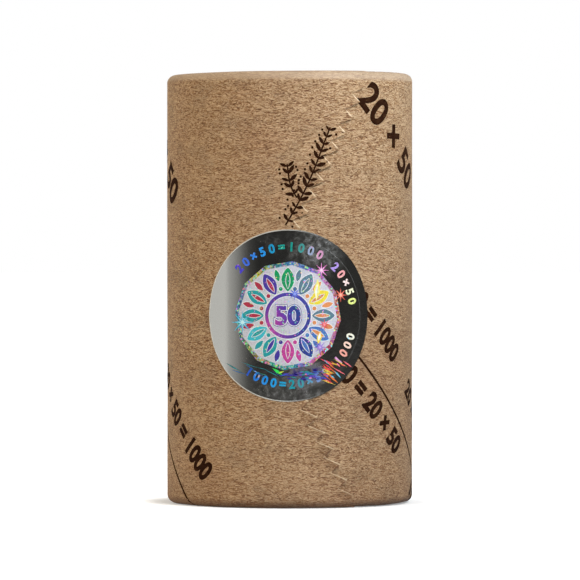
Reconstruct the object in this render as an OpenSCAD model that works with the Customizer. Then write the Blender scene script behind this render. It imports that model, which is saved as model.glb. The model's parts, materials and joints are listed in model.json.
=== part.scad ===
// Coin roll: a stack of twelve-sided coins wound in kraft paper, with rolled ends and a round foil seal.
// Millimetres. The roll stands on the XY plane with its axis on Z, and the seal faces -Y.

/* [Coins] */
// Number of coins in the stack
coin_count = 20; // [12:1:30]
// Width of a coin across two opposite flats
coin_flats = 31.65; // [26:0.05:36]
// How far the corners between the flats are rounded back
corner_trim = 0.15; // [0.05:0.05:0.3]
// Thickness of a coin over its rims
coin_t = 2.78; // [1.8:0.01:3.6]
// Width of the raised rim
rim_w = 1.4; // [0.8:0.1:2.4]
// Depth of each field below the rims
field_depth = 0.42; // [0.2:0.01:0.6]
// How far the raised figures stay below the rims
figure_drop = 0.12; // [0.05:0.01:0.18]
// Turn of each coin from the one under it, in degrees
coin_turn = 137.5; // [0:0.5:360]

/* [Coin figures] */
// Height of the numerals on the upper face
numeral_h = 9; // [6:0.5:11]
// Stroke width of the numerals
stroke_w = 1.6; // [1:0.1:1.8]
// Space between the two numerals
numeral_gap = 1.2; // [0.6:0.1:2]
// Length of a petal on the lower face
petal_l = 6.5; // [4:0.1:8]
// Width of a petal at its middle
petal_w = 2; // [1:0.1:2.4]
// Diameter of the boss in the middle of the lower face
boss_d = 5; // [3:0.1:6]
// Gap between the boss and the petals
petal_gap = 0.4; // [0.2:0.1:1]
// Diameter of the bead in each corner of a field
bead_d = 0.9; // [0.5:0.1:1.2]

/* [Wrapper] */
// Thickness of the kraft paper
paper_t = 0.12; // [0.08:0.01:0.18]
// Layers of paper in the wall
layers = 3; // [2:1:4]
// Gap between the coins' corners and the paper
coin_clear = 0.05; // [0.03:0.01:0.15]
// Gap between the faces that lie on each other
face_gap = 0.01; // [0.005:0.005:0.05]
// Radius of the hollow inside a rolled end
curl_r = 0.19; // [0.1:0.01:0.5]
// Width of a rolled end, from the outside of the roll to its inner lip
crimp_w = 4.6; // [3.6:0.1:7]
// Gap between the tucked edge of the paper and the wall
tuck_gap = 0.9; // [0.4:0.1:1.4]

/* [Torn edge] */
// Where the point of the V lies round the roll, in degrees right of the front
notch_angle = -18; // [-40:1:10]
// How far the point of the V lies below the middle of the roll
notch_drop = 2.25; // [0:0.05:6]
// Slant of the two arms of the V from the axis, in degrees
arm_slant = 26; // [10:1:34]
// Distance from one saw tooth to the next along an arm
tooth_pitch = 2.34; // [1.5:0.01:4]
// Depth of a saw tooth, from its root to its tip
tooth_depth = 1.5; // [0.8:0.1:2]
// Where the tip lies between the roots on both sides of it, as a share of the distance
tooth_lean = 0.75; // [0.4:0.05:0.85]
// Distance along an arm from the point of the V to the root of its first tooth
first_tooth = 1.12; // [0.3:0.01:1.8]
// Where the outermost layer starts round the roll, in degrees right of the front
lap_start = 130; // [100:1:170]

/* [Seal] */
// Diameter of the foil seal before it is bent round the roll
seal_d = 22.8; // [16:0.1:28]
// Thickness of the foil
seal_t = 0.06; // [0.04:0.01:0.12]
// Thickness of the glue under the foil
glue_t = 0.01; // [0.005:0.005:0.03]
// How far the middle of the seal lies below the middle of the roll
seal_drop = 3.4; // [0:0.1:6]
// Where the middle of the seal lies round the roll, in degrees right of the front
seal_angle = -1; // [-20:1:20]

/* [Hidden] */
$fn = 96;
flats = 12;
half_step = 180 / flats;
corner_r = coin_flats / 2 / cos(half_step) - corner_trim;
field_flats = coin_flats - 2 * rim_w;
figure_h = coin_t / 2 - figure_drop;
bead_ring_r = field_flats / 2 - 1.3 * bead_d;
petal_ring_r = (boss_d + petal_l) / 2 + petal_gap;
digit_w = 0.62 * numeral_h;

wall_t = layers * paper_t;
bore_r = corner_r + coin_clear;
outer_r = bore_r + wall_t;
core_r = outer_r - paper_t;
crimp_h = 2 * (wall_t + curl_r);
curl_x = outer_r - crimp_w + crimp_h / 2;
tuck_x = bore_r - tuck_gap;

coin_step = coin_t + face_gap;
first_coin_z = crimp_h + face_gap;
roll_h = 2 * first_coin_z + coin_count * coin_step - face_gap;

notch_s = arc_length(notch_angle);
arm_teeth = ceil((roll_h / 2 + notch_drop) / (tooth_pitch * cos(arm_slant))) + 1;
lap_step = paper_t / 6;
spare = 1;
seal_r = outer_r + glue_t;
seal_points = 72;

function two_digits(i) = str(i < 10 ? "0" : "", i);
function coin_name(i) = str("coin_", two_digits(i));
function arc_length(angle) = outer_r * angle * PI / 180;
// Where a point that lies s along the outside of the wall is seen from the front
function front_x(s, r) = r * sin(s / r * 180 / PI);
// A point of the torn edge, u along an arm and n across it, on the upper (1) or lower (-1) arm
function torn_point(u, n, arm) = [
    front_x(notch_s + u * sin(arm_slant) + n * cos(arm_slant), outer_r),
    roll_h / 2 - notch_drop + arm * (u * cos(arm_slant) - n * sin(arm_slant))
];
function tooth_root(k, arm) = torn_point(first_tooth + k * tooth_pitch, 0, arm);
function tooth_tip(k, arm) = torn_point(first_tooth + (k + tooth_lean) * tooth_pitch, tooth_depth, arm);
function torn_edge() = concat(
    [for (k = [arm_teeth - 1:-1:0]) each [tooth_tip(k, -1), tooth_root(k, -1)]],
    [torn_point(0, 0, 1)],
    [for (k = [0:arm_teeth - 1]) each [tooth_root(k, 1), tooth_tip(k, 1)]]
);

// Coins

module twelve_sided(width) {
    rotate(half_step) circle(r = width / 2 / cos(half_step), $fn = flats);
}

module coin_outline() {
    intersection() {
        twelve_sided(coin_flats);
        circle(r = corner_r);
    }
}

module stadium(width, height) {
    square([width, height - width], center = true);
    for (side = [-1, 1]) translate([0, side * (height - width) / 2]) circle(d = width);
}

module numeral_zero() {
    difference() {
        stadium(digit_w, numeral_h);
        stadium(digit_w - 2 * stroke_w, numeral_h - 2 * stroke_w);
    }
}

// The bowl is a ring that is open on its left, between the stem and the tail
module numeral_five() {
    bowl_r = digit_w / 2;
    foot = -numeral_h / 2;
    open_from = 145;
    open_to = 205;
    opening = [for (a = [open_from, (open_from + open_to) / 2, open_to]) 2 * bowl_r * [cos(a), sin(a)]];
    translate([0, foot + bowl_r]) difference() {
        circle(r = bowl_r);
        circle(r = bowl_r - stroke_w);
        polygon(concat([[0, 0]], opening));
    }
    translate([-bowl_r, foot + 1.5 * bowl_r]) square([stroke_w, numeral_h - 1.5 * bowl_r]);
    translate([-bowl_r, -foot - stroke_w]) square([1.9 * bowl_r, stroke_w]);
}

module numerals() {
    pitch = digit_w + numeral_gap;
    translate([-pitch / 2, 0]) numeral_five();
    translate([pitch / 2, 0]) numeral_zero();
}

// A lens between two arcs
module petal() {
    arc_r = (petal_l * petal_l + petal_w * petal_w) / (4 * petal_w);
    intersection() {
        translate([arc_r - petal_w / 2, 0]) circle(r = arc_r);
        translate([petal_w / 2 - arc_r, 0]) circle(r = arc_r);
    }
}

module rosette() {
    circle(d = boss_d);
    for (k = [0:flats - 1]) rotate(k * 2 * half_step) translate([0, petal_ring_r]) petal();
}

module corner_beads() {
    for (k = [0:flats - 1]) rotate(k * 2 * half_step) translate([0, bead_ring_r]) circle(d = bead_d);
}

// One coin, centred on its own middle plane
module coin_blank() {
    difference() {
        translate([0, 0, -coin_t / 2]) linear_extrude(coin_t) coin_outline();
        for (side = [0, 1]) mirror([0, 0, side])
            translate([0, 0, coin_t / 2 - field_depth]) linear_extrude(field_depth + spare)
                twelve_sided(field_flats);
    }
}

module coin(i) {
    color("silver")
    translate([0, 0, first_coin_z + coin_t / 2 + (i - 1) * coin_step]) rotate(i * coin_turn) {
        coin_blank();
        linear_extrude(figure_h) {
            numerals();
            corner_beads();
        }
        mirror([0, 0, 1]) linear_extrude(figure_h) {
            rosette();
            corner_beads();
        }
    }
}

// Wrapper

// The sheet where it turns through one or more quarters of a circle
module turn(outer, quarters) {
    intersection() {
        difference() {
            circle(r = outer);
            circle(r = outer - wall_t);
        }
        for (q = quarters) rotate(90 * q) square(outer + spare);
    }
}

// The sheet over the upper end: round the shoulder, inwards, down round the lip and back over the coin
module rolled_end() {
    translate([outer_r - crimp_h, roll_h - crimp_h]) turn(crimp_h, [0]);
    translate([curl_x, roll_h - wall_t]) square([outer_r - crimp_h - curl_x, wall_t]);
    translate([curl_x, roll_h - crimp_h / 2]) turn(crimp_h / 2, [1, 2]);
    translate([curl_x, roll_h - crimp_h]) square([tuck_x - curl_x, wall_t]);
}

module sheet_profile() {
    translate([bore_r, crimp_h]) square([wall_t, roll_h - 2 * crimp_h]);
    rolled_end();
    translate([0, roll_h]) mirror([0, 1]) rolled_end();
}

// The roll without its outermost layer, as a plain solid; the lips keep all their layers
module core() {
    round_r = crimp_h - paper_t;
    rotate_extrude() {
        translate([0, -spare]) square([curl_x + wall_t, roll_h + 2 * spare]);
        translate([0, paper_t]) square([core_r - round_r, roll_h - 2 * paper_t]);
        translate([0, crimp_h]) square([core_r, roll_h - 2 * crimp_h]);
        for (z = [crimp_h, roll_h - crimp_h]) translate([core_r - round_r, z]) circle(r = round_r);
    }
}

// All that lies right of the torn edge, round to where the outermost layer starts
module past_the_torn_edge() {
    far_x = outer_r + spare;
    edge = torn_edge();
    low = edge[0][1];
    high = edge[len(edge) - 1][1];
    rotate([90, 0, 0]) linear_extrude(far_x) polygon(concat(edge, [[far_x, high], [far_x, low]]));
    reach = 2 * outer_r;
    translate([0, 0, -spare]) linear_extrude(roll_h + 2 * spare)
        polygon([[0, 0], [reach, 0], [reach * sin(lap_start), -reach * cos(lap_start)]]);
    rotate(lap_start - 90) translate([core_r + lap_step, -spare, -spare])
        cube([spare, outer_r + spare, roll_h + 2 * spare]);
}

module wrapper() {
    color("burlywood") difference() {
        rotate_extrude() sheet_profile();
        difference() {
            past_the_torn_edge();
            core();
        }
    }
}

// Seal

module seal_outline() {
    polygon([for (k = [0:seal_points - 1]) let (a = k * 360 / seal_points)
        [front_x(seal_d / 2 * cos(a), seal_r), seal_d / 2 * sin(a)]]);
}

module seal() {
    color("lightgray") rotate(seal_angle) translate([0, 0, roll_h / 2 - seal_drop]) intersection() {
        rotate([90, 0, 0]) linear_extrude(seal_r + spare) seal_outline();
        difference() {
            cylinder(r = seal_r + seal_t, h = seal_d + spare, center = true);
            cylinder(r = seal_r, h = seal_d + 2 * spare, center = true);
        }
    }
}

for (i = [1:coin_count]) coin(i);
wrapper();
seal();
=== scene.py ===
"""Coin roll: kraft paper with a torn edge and rolled ends, its print, a foil seal and the coins inside."""
import json
import logging
import math
import random
from dataclasses import dataclass
from enum import Enum
from typing import Any, Callable, Optional, Sequence, Union

import bpy
from mathutils import Matrix, Vector, noise


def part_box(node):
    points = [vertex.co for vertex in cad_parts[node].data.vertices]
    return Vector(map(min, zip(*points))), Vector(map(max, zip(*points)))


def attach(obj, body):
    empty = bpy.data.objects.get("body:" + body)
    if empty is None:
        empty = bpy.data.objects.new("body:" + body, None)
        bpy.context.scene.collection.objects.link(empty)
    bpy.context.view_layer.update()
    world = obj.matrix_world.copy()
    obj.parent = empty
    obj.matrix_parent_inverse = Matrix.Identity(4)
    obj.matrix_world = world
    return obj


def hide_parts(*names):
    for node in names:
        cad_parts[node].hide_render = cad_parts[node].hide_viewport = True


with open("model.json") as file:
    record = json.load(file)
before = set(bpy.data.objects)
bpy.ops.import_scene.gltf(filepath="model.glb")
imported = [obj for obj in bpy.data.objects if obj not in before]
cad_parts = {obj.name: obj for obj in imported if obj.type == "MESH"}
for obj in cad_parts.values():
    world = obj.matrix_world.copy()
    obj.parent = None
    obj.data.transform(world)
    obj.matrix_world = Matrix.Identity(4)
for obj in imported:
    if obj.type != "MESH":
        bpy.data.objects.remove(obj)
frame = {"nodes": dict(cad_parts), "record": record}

log = logging.getLogger("coin_roll")

MM = 0.001
CHART_NAME = "sheet"
CHART_SIZE = 200.0
CHART_ORIGIN = (0.3, 0.5)
TORN_NAME = "torn"
TINT_NAME = "tint"
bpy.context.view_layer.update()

Triple = tuple[float, float, float]
Colour = Triple
Point = tuple[float, float]
Piece = bpy.types.Object
Material = bpy.types.Material
Rule = Callable[[Vector], Vector]
Stops = Sequence[tuple[float, str]]
Tint = Union[Colour, Callable[[Vector], Colour]]


def linear(code: str) -> Colour:
    """Linear light of a colour that is written as six hexadecimal digits.

    Args:
        code: The colour as it looks on a screen, such as "be9b73".

    Returns:
        Its red, green and blue shares of linear light.
    """
    shares = [int(code[i:i + 2], 16) / 255 for i in (0, 2, 4)]
    return tuple(c / 12.92 if c <= 0.04045 else ((c + 0.055) / 1.055) ** 2.4 for c in shares)


def smooth(value: float, low: float, high: float) -> float:
    """Rise from 0 at low to 1 at high, level at both ends.

    Args:
        value: The place on the way.
        low: Where the rise starts.
        high: Where the rise ends.

    Returns:
        The height there, from 0 to 1.
    """
    t = min(1.0, max(0.0, (value - low) / (high - low)))
    return t * t * (3 - 2 * t)


def grey(share: float) -> Colour:
    """A neutral colour of linear light."""
    return (share, share, share)


def blend(stops: Stops, at: float) -> Colour:
    """The colour between the two stops on both sides of a place.

    Args:
        stops: Places, all rising or all falling, each with its colour as six hexadecimal digits.
        at: The place.

    Returns:
        The colour in linear light.
    """
    low, high = next(p for p in zip(stops, stops[1:]) if min(p[0][0], p[1][0]) <= at <= max(p[0][0], p[1][0]))
    share = (at - low[0]) / (high[0] - low[0])
    return tuple(a + (b - a) * share for a, b in zip(linear(low[1]), linear(high[1])))


class Slot(Enum):
    """The record's material slots."""

    PAPER = "kraft_paper"
    FOIL = "seal_foil"


# Shader graph


class Signal:
    """A node's output socket, on which arithmetic adds Math nodes."""

    def __init__(self, graph: "Graph", node: bpy.types.Node, output: Union[int, str]) -> None:
        """Keep the node, which of its outputs is meant, and the graph that it is in."""
        self.graph = graph
        self.node = node
        self.output = output

    @property
    def socket(self) -> bpy.types.NodeSocket:
        """The output's socket."""
        return self.node.outputs[self.output]

    def _math(self, operation: str, *values: Any) -> "Signal":
        """One Math node over the values, in their order."""
        return self.graph.node("ShaderNodeMath", {"operation": operation}, dict(enumerate(values)))

    def __add__(self, other: Any) -> "Signal":
        """Sum."""
        return self._math("ADD", self, other)

    def __radd__(self, other: Any) -> "Signal":
        """Sum with a number on the left."""
        return self._math("ADD", other, self)

    def __sub__(self, other: Any) -> "Signal":
        """Difference."""
        return self._math("SUBTRACT", self, other)

    def __rsub__(self, other: Any) -> "Signal":
        """Difference from a number on the left."""
        return self._math("SUBTRACT", other, self)

    def __mul__(self, other: Any) -> "Signal":
        """Product."""
        return self._math("MULTIPLY", self, other)

    def __rmul__(self, other: Any) -> "Signal":
        """Product with a number on the left."""
        return self._math("MULTIPLY", other, self)

    def __truediv__(self, other: Any) -> "Signal":
        """Quotient."""
        return self._math("DIVIDE", self, other)

    def __abs__(self) -> "Signal":
        """Size without its sign."""
        return self._math("ABSOLUTE", self)

    def wave(self) -> "Signal":
        """Go between 0 and 1 once for every whole number."""
        return self._math("SINE", self * (2 * math.pi)) * 0.5 + 0.5

    def part(self, axis: str) -> "Signal":
        """One axis of a place."""
        return self.graph.node("ShaderNodeSeparateXYZ", {}, {0: self}, axis)

    def away(self, point: Triple = (0.0, 0.0, 0.0)) -> "Signal":
        """How far a place lies from a point."""
        ends = {0: self, 1: point}
        return self.graph.node("ShaderNodeVectorMath", {"operation": "DISTANCE"}, ends, "Value")

    def bearing(self) -> "Signal":
        """The direction of a place seen from above, in whole turns right of the front."""
        return self._math("ARCTAN2", self.part("X"), 0.0 - self.part("Y")) / (2 * math.pi)

    def rise(self, low: float, high: float) -> "Signal":
        """Go smoothly from 0 at low to 1 at high.

        Args:
            low: The value that gives 0.
            high: The value that gives 1, which may be the smaller one.

        Returns:
            The smooth step.
        """
        return self.graph.node(
            "ShaderNodeMapRange",
            {"interpolation_type": "SMOOTHSTEP"},
            {"Value": self, "From Min": low, "From Max": high},
        )


class Graph:
    """The node tree of a material or a world, written as expressions."""

    def __init__(self, name: str, world: bool = False) -> None:
        """Start an empty material or world.

        Args:
            name: Its name.
            world: Whether it is a world.
        """
        self.owner = (bpy.data.worlds if world else bpy.data.materials).new(name)
        self.owner.use_nodes = True
        self.tree = self.owner.node_tree
        self.tree.nodes.clear()

    def node(
        self,
        kind: str,
        settings: Optional[dict[str, Any]] = None,
        inputs: Optional[dict[Union[int, str], Any]] = None,
        output: Union[int, str] = 0,
    ) -> Signal:
        """Add a node.

        Args:
            kind: The node's type.
            settings: Its properties, and "stops" for a colour ramp.
            inputs: Values or signals of its sockets, by name or place.
            output: The socket that is returned, by name or place.

        Returns:
            The signal of that output.
        """
        node = self.tree.nodes.new(kind)
        for key, value in (settings or {}).items():
            if key == "stops":
                self._set_stops(node.color_ramp, value)
            else:
                setattr(node, key, value)
        for key, value in (inputs or {}).items():
            self.feed(node.inputs[key], value)
        return Signal(self, node, output)

    @staticmethod
    def _set_stops(ramp: bpy.types.ColorRamp, stops: Sequence[tuple[float, Colour]]) -> None:
        """Set a ramp's places and colours, in rising order.

        Args:
            ramp: The ramp.
            stops: Places from 0 to 1 with their colours.
        """
        while len(ramp.elements) < len(stops):
            ramp.elements.new(1.0)
        for element, (place, colour) in zip(ramp.elements, stops):
            element.position = place
            element.color = (*colour, 1.0)

    def feed(self, socket: bpy.types.NodeSocket, value: Any) -> None:
        """Link a signal to a socket, or set the socket's own value.

        Args:
            socket: The input socket.
            value: A signal, a number, a colour or a vector.
        """
        if isinstance(value, Signal):
            self.tree.links.new(value.socket, socket)
        elif socket.type == "RGBA":
            socket.default_value = (*value, 1.0)
        else:
            socket.default_value = value

    def millimetres(self, stretch: Triple = (1.0, 1.0, 1.0), turn: Triple = (0.0, 0.0, 0.0)) -> Signal:
        """The piece's own coordinates in millimetres, turned and then stretched along its axes."""
        place = self.node("ShaderNodeTexCoord", output="Object")
        return self.node(
            "ShaderNodeMapping",
            {"vector_type": "POINT"},
            {"Vector": place, "Rotation": turn, "Scale": tuple(s / MM for s in stretch)},
        )

    def sheet(self, stretch: Point = (1.0, 1.0), turn: float = 0.0) -> Signal:
        """The place on the flat sheet in millimetres, turned by degrees and then stretched.

        Args:
            stretch: The factors along and up the sheet.
            turn: The turn, in degrees.

        Returns:
            The place.
        """
        place = self.node("ShaderNodeUVMap", {"uv_map": CHART_NAME})
        spin = (0.0, 0.0, math.radians(turn))
        turned = self.node("ShaderNodeMapping", {}, {"Vector": place, "Rotation": spin})
        scale = (*(s * CHART_SIZE for s in stretch), 1.0)
        return self.node("ShaderNodeMapping", {}, {"Vector": turned, "Scale": scale})

    def ray(self, kind: str) -> Signal:
        """1 for rays of one kind, and 0 for the others."""
        return self.node("ShaderNodeLightPath", output=kind)

    def mirrored(self) -> Signal:
        """1 for rays that come off a mirror or through glass."""
        return self.ray("Is Glossy Ray") + self.ray("Is Transmission Ray")

    def noise(
        self, where: Signal, scale: float, detail: float = 2.0, rough: float = 0.5, warp: float = 0.0
    ) -> Signal:
        """Cloudy variation between 0 and 1 over a place."""
        return self.node(
            "ShaderNodeTexNoise",
            {"noise_dimensions": "3D"},
            {"Vector": where, "Scale": scale, "Detail": detail, "Roughness": rough, "Distortion": warp},
        )

    def mix(self, share: Any, first: Any, second: Any, blend: str = "MIX") -> Signal:
        """Blend two colours.

        Args:
            share: How much of the second colour there is.
            first: The colour or signal at a share of 0.
            second: The colour or signal at a share of 1.
            blend: The way of blending.

        Returns:
            The blended colour.
        """
        settings = {"data_type": "RGBA", "blend_type": blend}
        return self.node("ShaderNodeMix", settings, {0: share, 6: first, 7: second}, 2)

    def bump(self, height: Signal, depth: float, strength: float = 1.0) -> Signal:
        """A normal from a height between 0 and 1.

        Args:
            height: The height over the surface.
            depth: How deep a height of 1 is, in millimetres.
            strength: The share of the effect.

        Returns:
            The bumped normal.
        """
        inputs = {"Height": height, "Distance": depth * MM, "Strength": strength}
        return self.node("ShaderNodeBump", {}, inputs, "Normal")

    def surface(self, **sockets: Any) -> Material:
        """Close the material with one Principled shader.

        Args:
            **sockets: Values or signals by socket name, with _ for a space.

        Returns:
            The finished material.
        """
        inputs = {name.replace("_", " "): value for name, value in sockets.items()}
        shader = self.node("ShaderNodeBsdfPrincipled", {}, inputs)
        self.node("ShaderNodeOutputMaterial", {}, {"Surface": shader})
        return self.owner


# Finishes


@dataclass(frozen=True)
class KraftPaper:
    """Brown paper with felted ripples across the roll, loose fibres and flecks."""

    # valley and crest: the felt's tones, darker valleys partly painted shade and paler crests partly painted
    # sheen.
    valley: Colour = linear("633304")
    body: Colour = linear("92693d")
    crest: Colour = linear("be9d77")
    fleck: Colour = linear("553820")
    cloud: Colour = linear("dcb48c")
    hair: Colour = linear("cdaf88")
    # Pale bare fibres, painted as a highlight on the upper sides of the teeth.
    bare_fibre_highlight: Colour = linear("ecd4b0")
    # fold: a paler, greyer colour, a painted highlight on the top shoulder that carries on over the rolled
    # ends.
    fold: Colour = linear("a8927a")
    fold_v: float = 27.9
    # foot_shade and lower_wall_shade: painted shade, darker towards the bottom of the roll.
    foot_shade: float = 0.42
    lower_wall_shade: float = 0.16
    ripple: float = 0.34
    relief: float = 0.27
    ground: float = 0.28
    broad_part: float = 0.16
    strand_part: float = 0.12
    ripple_part: float = 0.2

    def felt(self, g: Graph) -> Signal:
        """The height of the felted surface, between 0 and 1.

        Args:
            g: The material's graph.

        Returns:
            The height.
        """
        broad = g.noise(g.sheet((0.8, 2.6), 3.0), 1.0, 2.0, 0.55, 0.7)
        strands = self.strands(g, (1.15, 4.6), 8.0) + self.strands(g, (1.3, 5.2), -9.0)
        up = g.sheet().part("Y")
        bent = g.noise(g.sheet((0.9, 1.7), 4.0), 1.0, 2.0, 0.6, 0.4)
        strength = g.noise(g.sheet((1.6, 2.4), -6.0), 1.0, 1.0, 0.5).rise(0.25, 0.75)
        ripple = (up / self.ripple + bent * 5.0).wave() - 0.5
        matted = self.ground + broad * self.broad_part + strands * self.strand_part
        return matted + ripple * strength * self.ripple_part

    @staticmethod
    def strands(g: Graph, stretch: Point, turn: float) -> Signal:
        """Ridges of matted fibres that lie at about one angle, between 0 and 1."""
        field = g.noise(g.sheet(stretch, turn), 1.0, 2.0, 0.6, 0.8)
        return abs(field - 0.5).rise(0.2, 0.0)

    @staticmethod
    def hairs(g: Graph, turn: float, seed: float) -> Signal:
        """Thin lines of loose fibres that lie at about one angle."""
        field = g.noise(g.sheet((0.5 + seed, 3.0 + seed), turn), 1.0, 1.0, 0.5, 1.6)
        return abs(field - 0.5).rise(0.012, 0.002)

    def material(self) -> Material:
        """Build the paper's material.

        Returns:
            The material.
        """
        g = Graph("kraft_paper")
        felt = self.felt(g)
        hairs = self.hairs(g, 34.0, 0.0) + self.hairs(g, -28.0, 0.11) + self.hairs(g, 8.0, 0.23)
        patch = g.noise(g.sheet((0.22, 0.3)), 1.0, 2.0, 0.5).rise(0.45, 0.7)
        # The felt's colour ramp: grain tone, with painted shade in the valleys and painted sheen on the paler
        # crests.
        colour = g.node(
            "ShaderNodeValToRGB",
            {"stops": [(0.4, self.valley), (0.5, self.body), (0.6, self.crest)]},
            {"Fac": felt},
        )
        cloud = g.noise(g.sheet((0.09, 0.14)), 1.0, 3.0, 0.55)
        colour = g.mix(cloud.rise(0.5, 0.75) * 0.25, colour, self.cloud, "MULTIPLY")
        specks = g.noise(g.sheet((1.3, 2.6)), 1.0, 1.0).rise(0.7, 0.76)
        colour = g.mix(specks * 0.4, colour, self.fleck)
        colour = g.mix(hairs * patch * 0.4, colour, self.hair)
        # The torn edge: pale bare fibres as a painted highlight on the upper sides of the teeth, and painted
        # shade on the lower arm.
        torn = g.node("ShaderNodeAttribute", {"attribute_name": TORN_NAME}, output="Fac")
        colour = g.mix(torn.rise(0.1, 0.8) * 0.8, colour, self.bare_fibre_highlight)
        colour = g.mix(torn.rise(-0.1, -0.8) * 0.8, colour, self.valley)
        # Painted highlight: a paler, greyer band over the top shoulder, which carries on over both rolled
        # ends; the same band flattens the relief.
        up = g.sheet().part("Y") - CHART_ORIGIN[1] * CHART_SIZE
        fold = up.rise(self.fold_v - 0.3, self.fold_v + 0.4)
        colour = g.mix(fold * 0.6, colour, self.fold)
        # Painted shade: the paper darkens towards the bottom of the roll, most over the lower shoulder.
        rim, foot, wall = (over - self.fold_v for over in (-0.7, 0.3, 3.5))
        shade = up.rise(foot, rim) * self.foot_shade + up.rise(wall, foot) * self.lower_wall_shade
        colour = g.mix(shade, colour, self.valley)
        return g.surface(
            Base_Color=colour,
            Roughness=0.54 + felt * 0.2,
            Specular_IOR_Level=0.85,
            Normal=g.bump((felt + hairs * patch * 0.12) * (1.0 - fold * 0.6), self.relief),
        )


@dataclass(frozen=True)
class PrintInk:
    """Dark ink that sank into the paper, with fibres showing through."""

    ink: Colour = linear("2a1408")
    thin: Colour = linear("3c2413")
    bare: Colour = linear("7d5b3d")
    paper: KraftPaper = KraftPaper()

    def material(self) -> Material:
        """Build the ink's material, over the paper's own relief.

        Returns:
            The material.
        """
        g = Graph("print_ink")
        felt = self.paper.felt(g)
        soak = g.noise(g.sheet((0.9, 1.4)), 1.0, 3.0, 0.6)
        colour = g.mix(soak.rise(0.45, 0.75), self.ink, self.thin)
        pick = g.noise(g.sheet((2.4, 3.4)), 1.0, 2.0, 0.7).rise(0.68, 0.78)
        colour = g.mix(pick * 0.6, colour, self.bare)
        return g.surface(
            Base_Color=colour,
            Roughness=0.7 + soak * 0.2,
            Specular_IOR_Level=0.06,
            Normal=g.bump(felt, self.paper.relief),
        )


@dataclass(frozen=True)
class SealFoil:
    """Mirror foil with a fine ring, scuffs near its rim, a painted violet glint under the field and a pale
    cut edge shown only on its lit left side as a painted highlight.
    """

    silver: Colour = linear("dddcd5")
    scuff: Colour = linear("8490aa")
    violet_glint: Colour = linear("2a1f7c")
    tarnish: Colour = linear("a08a96")
    edge: Colour = linear("d4d2cc")
    radius: float = 11.4
    ring_r: float = 10.15

    def material(self) -> Material:
        """Build the foil's material, which reads the flat layout from the UV map.

        Returns:
            The material.
        """
        g = Graph("seal_foil")
        middle = (*(-share * CHART_SIZE for share in CHART_ORIGIN), 0.0)
        place = g.node("ShaderNodeMapping", {}, {"Vector": g.sheet(), "Location": middle})

        def near(x: float, y: float, reach: float) -> Signal:
            """A soft spot that fades over a reach from a point of the seal."""
            return place.away((x, y, 0.0)).rise(reach, 0.25 * reach)

        reach = place.away()
        across = place.part("X")
        ring = abs(reach - self.ring_r).rise(0.05, 0.015) * across.rise(0.5, 6.0) * 0.6
        # Painted highlight: the pale cut edge shows only on the left, where light falls on it.
        rim = reach.rise(self.radius - 0.17, self.radius - 0.09) * across.rise(6.0, -3.0)
        worn = g.noise(place, 1.0, 5.0, 0.68, 0.3)
        dust = g.noise(place, 5.0, 2.0, 0.7).rise(0.55, 0.8)
        smear = near(3.6, 9.0, 5.6) + near(-2.2, -10.4, 4.4) + near(2.6, -10.2, 3.6)
        smear += near(-2.6, 9.8, 2.6) * 0.6
        cloud = g.noise(place, 0.45, 3.0, 0.6, 0.9).rise(0.42, 0.75)
        scuff = worn.rise(0.3, 0.92) * smear * 0.68 + near(4.6, 8.4, 6.0) * 0.08
        scuff = (scuff + dust * (0.08 + cloud * 0.2)).rise(0.0, 1.0)
        # Painted reflection: a violet rainbow glint below the field.
        violet_glint = (near(1.6, -7.8, 2.6) + near(4.2, -7.6, 1.8)) * worn.rise(0.35, 0.6)
        colour = g.mix(scuff * 0.8 + ring * 0.3, self.silver, self.scuff)
        colour = g.mix(violet_glint, colour, self.violet_glint)
        colour = g.mix(cloud * 0.35 * across.rise(-5.0, -1.0), colour, self.tarnish)
        colour = g.mix(rim, colour, self.edge)
        return g.surface(
            Base_Color=colour,
            Metallic=1.0 - scuff * 0.5 - ring * 0.16 - violet_glint * 0.6 - rim * 0.8,
            Roughness=0.09 + scuff * 0.4 + ring * 0.2 + dust * 0.08,
            Normal=g.bump(worn, 0.012, 0.5),
        )


@dataclass(frozen=True)
class HoloPrint:
    """Coloured foil whose tint comes from each figure, broken up into fine sparkling cells."""

    name: str
    cell: float
    sparkle: float
    metal: float
    rough: float
    grain: float

    def material(self) -> Material:
        """Build the material, which reads the piece's own tint.

        Returns:
            The material.
        """
        g = Graph(self.name)
        tint = g.node("ShaderNodeAttribute", {"attribute_name": TINT_NAME}, output="Color")
        grid = {"Vector": g.millimetres(), "Scale": 1.0 / self.cell}
        cells = g.node("ShaderNodeTexVoronoi", {"feature": "F1"}, grid, "Color")
        parts = g.node("ShaderNodeSeparateColor", {}, {0: cells}, 0)
        rainbow = g.node("ShaderNodeCombineColor", {"mode": "HSV"}, {0: parts, 1: 0.75, 2: 1.0})
        glow = g.node("ShaderNodeSeparateColor", {}, {0: cells}, 1)
        colour = g.mix(glow.rise(1.0 - self.sparkle, 1.0), tint, rainbow)
        colour = g.mix(glow.rise(0.0, 0.5) * self.grain + (1.0 - self.grain), grey(0.0), colour)
        return g.surface(Base_Color=colour, Metallic=self.metal, Roughness=self.rough)


@dataclass(frozen=True)
class CoinMetal:
    """Struck cupronickel with fine handling marks."""

    bright: Colour = linear("d9d6cf")
    dull: Colour = linear("a9a59b")

    def material(self) -> Material:
        """Build the coins' material.

        Returns:
            The material.
        """
        g = Graph("coin_metal")
        cloud = g.noise(g.millimetres(), 0.35, 4.0, 0.6)
        marks = g.noise(g.millimetres((0.35, 9.0, 1.0), (0.0, 0.0, 0.7)), 1.0, 2.0, 0.5).rise(0.62, 0.75)
        colour = g.mix(cloud.rise(0.3, 0.75) * 0.6 + marks * 0.15, self.bright, self.dull)
        return g.surface(
            Base_Color=colour,
            Metallic=1.0,
            Roughness=0.2 + cloud * 0.15 + marks * 0.12,
            Normal=g.bump(marks, 0.01, 0.4),
        )


# Hand work on one mesh at a time


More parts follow.
